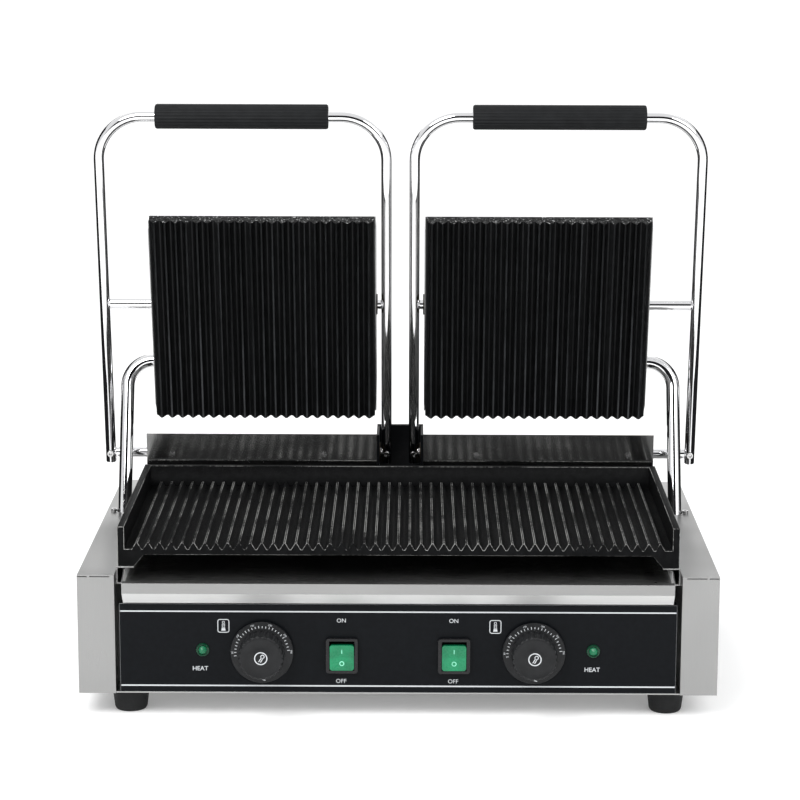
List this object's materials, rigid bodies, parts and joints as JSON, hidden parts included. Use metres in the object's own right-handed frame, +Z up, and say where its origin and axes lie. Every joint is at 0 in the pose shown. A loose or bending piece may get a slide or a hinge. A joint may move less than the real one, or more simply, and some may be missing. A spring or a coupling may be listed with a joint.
{
  "type": "double contact grill",
  "caption": "Low steel counter grill with a ribbed cooking plate, two sprung lids that carry smaller ribbed plates, round dials, rocker switches and a pull-out grease tray.",
  "frame": {"origin": "centre of the footprint, on the surface that the feet rest on", "axes": "+X across the front, +Y from the control panel to the back, +Z up"},
  "size_m": [0.585, 0.4122, 0.5265],
  "materials": {
    "steel": "brushed stainless sheet",
    "housing_steel": "bright stainless sheet",
    "tray_steel": "satin stainless sheet",
    "plated": "polished",
    "cast_iron": "ribbed cast iron, black and seasoned",
    "black_steel": "satin black",
    "panel_black": "semi-gloss black with white print",
    "grip_black": "matte, fluted",
    "knob_black": "fine matte",
    "frame_black": "semi-gloss",
    "rocker_green": "translucent green",
    "lamp_green": "green translucent",
    "rubber": "matte",
    "bronze": "sintered bronze",
    "element_steel": "heat-tinted sheath",
    "spring_steel": "oiled",
    "screw_steel": "bright",
    "ceramic": "ivory ceramic",
    "nylon_black": "matte"
  },
  "bodies": {
    "base": {"side_panel_left": "steel", "side_panel_right": "steel", "base_pan": "steel", "rear_panel": "steel", "rear_deck": "steel", "control_panel": "panel_black", "tray_runner_left": "steel", "tray_runner_right": "steel", "lower_plate": "cast_iron", "lower_elements": "element_steel", "heat_shield": "steel", "rear_cover": "housing_steel", "centre_bracket": "black_steel", "shaft_bushes": "bronze", "torsion_springs": "spring_steel", "feet": "rubber", "foot_screws": "screw_steel", "thermostats": "ceramic", "switch_housing_left": "frame_black", "switch_housing_right": "frame_black", "lamp_rims": "lamp_green", "lamp_lenses": "lamp_green", "terminal_block": "ceramic", "cord_gland": "nylon_black", "conduit_guides": "nylon_black", "guide_screws": "screw_steel", "cover_screws": "screw_steel"},
    "tray": {"grease_tray": "tray_steel"},
    "left_knob": {"knob_left": "knob_black", "spindle_left": "screw_steel"},
    "left_rocker": {"rocker_left": "rocker_green"},
    "left_lid": {"handle_left": "plated", "grip_left": "grip_black", "crossbar_left": "plated", "pivot_shaft_left": "plated", "spring_collar_left": "spring_steel", "arm_screws_left": "screw_steel"},
    "left_plate": {"upper_plate_left": "cast_iron", "upper_cover_left": "housing_steel", "upper_elements_left": "element_steel", "bar_bushes_left": "bronze", "conduit_bush_left": "nylon_black"},
    "left_conduit": {"conduit_left": "plated"},
    "right_knob": {"knob_right": "knob_black", "spindle_right": "screw_steel"},
    "right_rocker": {"rocker_right": "rocker_green"},
    "right_lid": {"handle_right": "plated", "grip_right": "grip_black", "crossbar_right": "plated", "pivot_shaft_right": "plated", "spring_collar_right": "spring_steel", "arm_screws_right": "screw_steel"},
    "right_plate": {"upper_plate_right": "cast_iron", "upper_cover_right": "housing_steel", "upper_elements_right": "element_steel", "bar_bushes_right": "bronze", "conduit_bush_right": "nylon_black"},
    "right_conduit": {"conduit_right": "plated"}
  },
  "joints": [
    {"name": "left_lid_lift", "type": "hinge", "parent": "base", "child": "left_lid", "pos_m": [-0.1505, 0.11715, 0.176], "axis": [1, 0, 0], "range_deg": [0, 74.16], "stiffness_Nm_per_rad": 3, "springref_deg": -57.3},
    {"name": "left_plate_level", "type": "hinge", "parent": "left_lid", "child": "left_plate", "pos_m": [-0.1316, 0.09001, 0.32993], "axis": [1, 0, 0], "range_deg": [0, 1.1]},
    {"name": "left_conduit_swing", "type": "hinge", "parent": "left_plate", "child": "left_conduit", "pos_m": [-0.24, 0.11192, 0.26931], "axis": [1, 0, 0], "range_deg": [-31, 0]},
    {"name": "left_knob_turn", "type": "hinge", "parent": "base", "child": "left_knob", "pos_m": [-0.121, -0.18385, 0.0615], "axis": [0, 1, 0], "range_deg": [0, 270]},
    {"name": "left_rocker_press", "type": "hinge", "parent": "base", "child": "left_rocker", "pos_m": [-0.05, -0.17885, 0.058], "axis": [1, 0, 0], "range_deg": [-14, 0]},
    {"name": "right_lid_lift", "type": "hinge", "parent": "base", "child": "right_lid", "pos_m": [0.1505, 0.11715, 0.176], "axis": [1, 0, 0], "range_deg": [0, 74.16], "stiffness_Nm_per_rad": 3, "springref_deg": -57.3},
    {"name": "right_plate_level", "type": "hinge", "parent": "right_lid", "child": "right_plate", "pos_m": [0.1316, 0.09001, 0.32993], "axis": [1, 0, 0], "range_deg": [0, 1.1]},
    {"name": "right_conduit_swing", "type": "hinge", "parent": "right_plate", "child": "right_conduit", "pos_m": [0.24, 0.11192, 0.26931], "axis": [1, 0, 0], "range_deg": [-31, 0]},
    {"name": "right_knob_turn", "type": "hinge", "parent": "base", "child": "right_knob", "pos_m": [0.121, -0.18385, 0.0615], "axis": [0, 1, 0], "range_deg": [0, 270]},
    {"name": "right_rocker_press", "type": "hinge", "parent": "base", "child": "right_rocker", "pos_m": [0.05, -0.17885, 0.058], "axis": [1, 0, 0], "range_deg": [-14, 0]},
    {"name": "tray_slide", "type": "slide", "parent": "base", "child": "tray", "axis": [0, -1, 0], "range_m": [0, 0.2]}
  ],
  "couplings": [
    {"joint": "left_plate_level", "follows": "left_lid_lift", "ratio": 0.014006},
    {"joint": "left_conduit_swing", "follows": "left_lid_lift", "ratio": -0.40421},
    {"joint": "right_plate_level", "follows": "right_lid_lift", "ratio": 0.014006},
    {"joint": "right_conduit_swing", "follows": "right_lid_lift", "ratio": -0.40421}
  ]
}
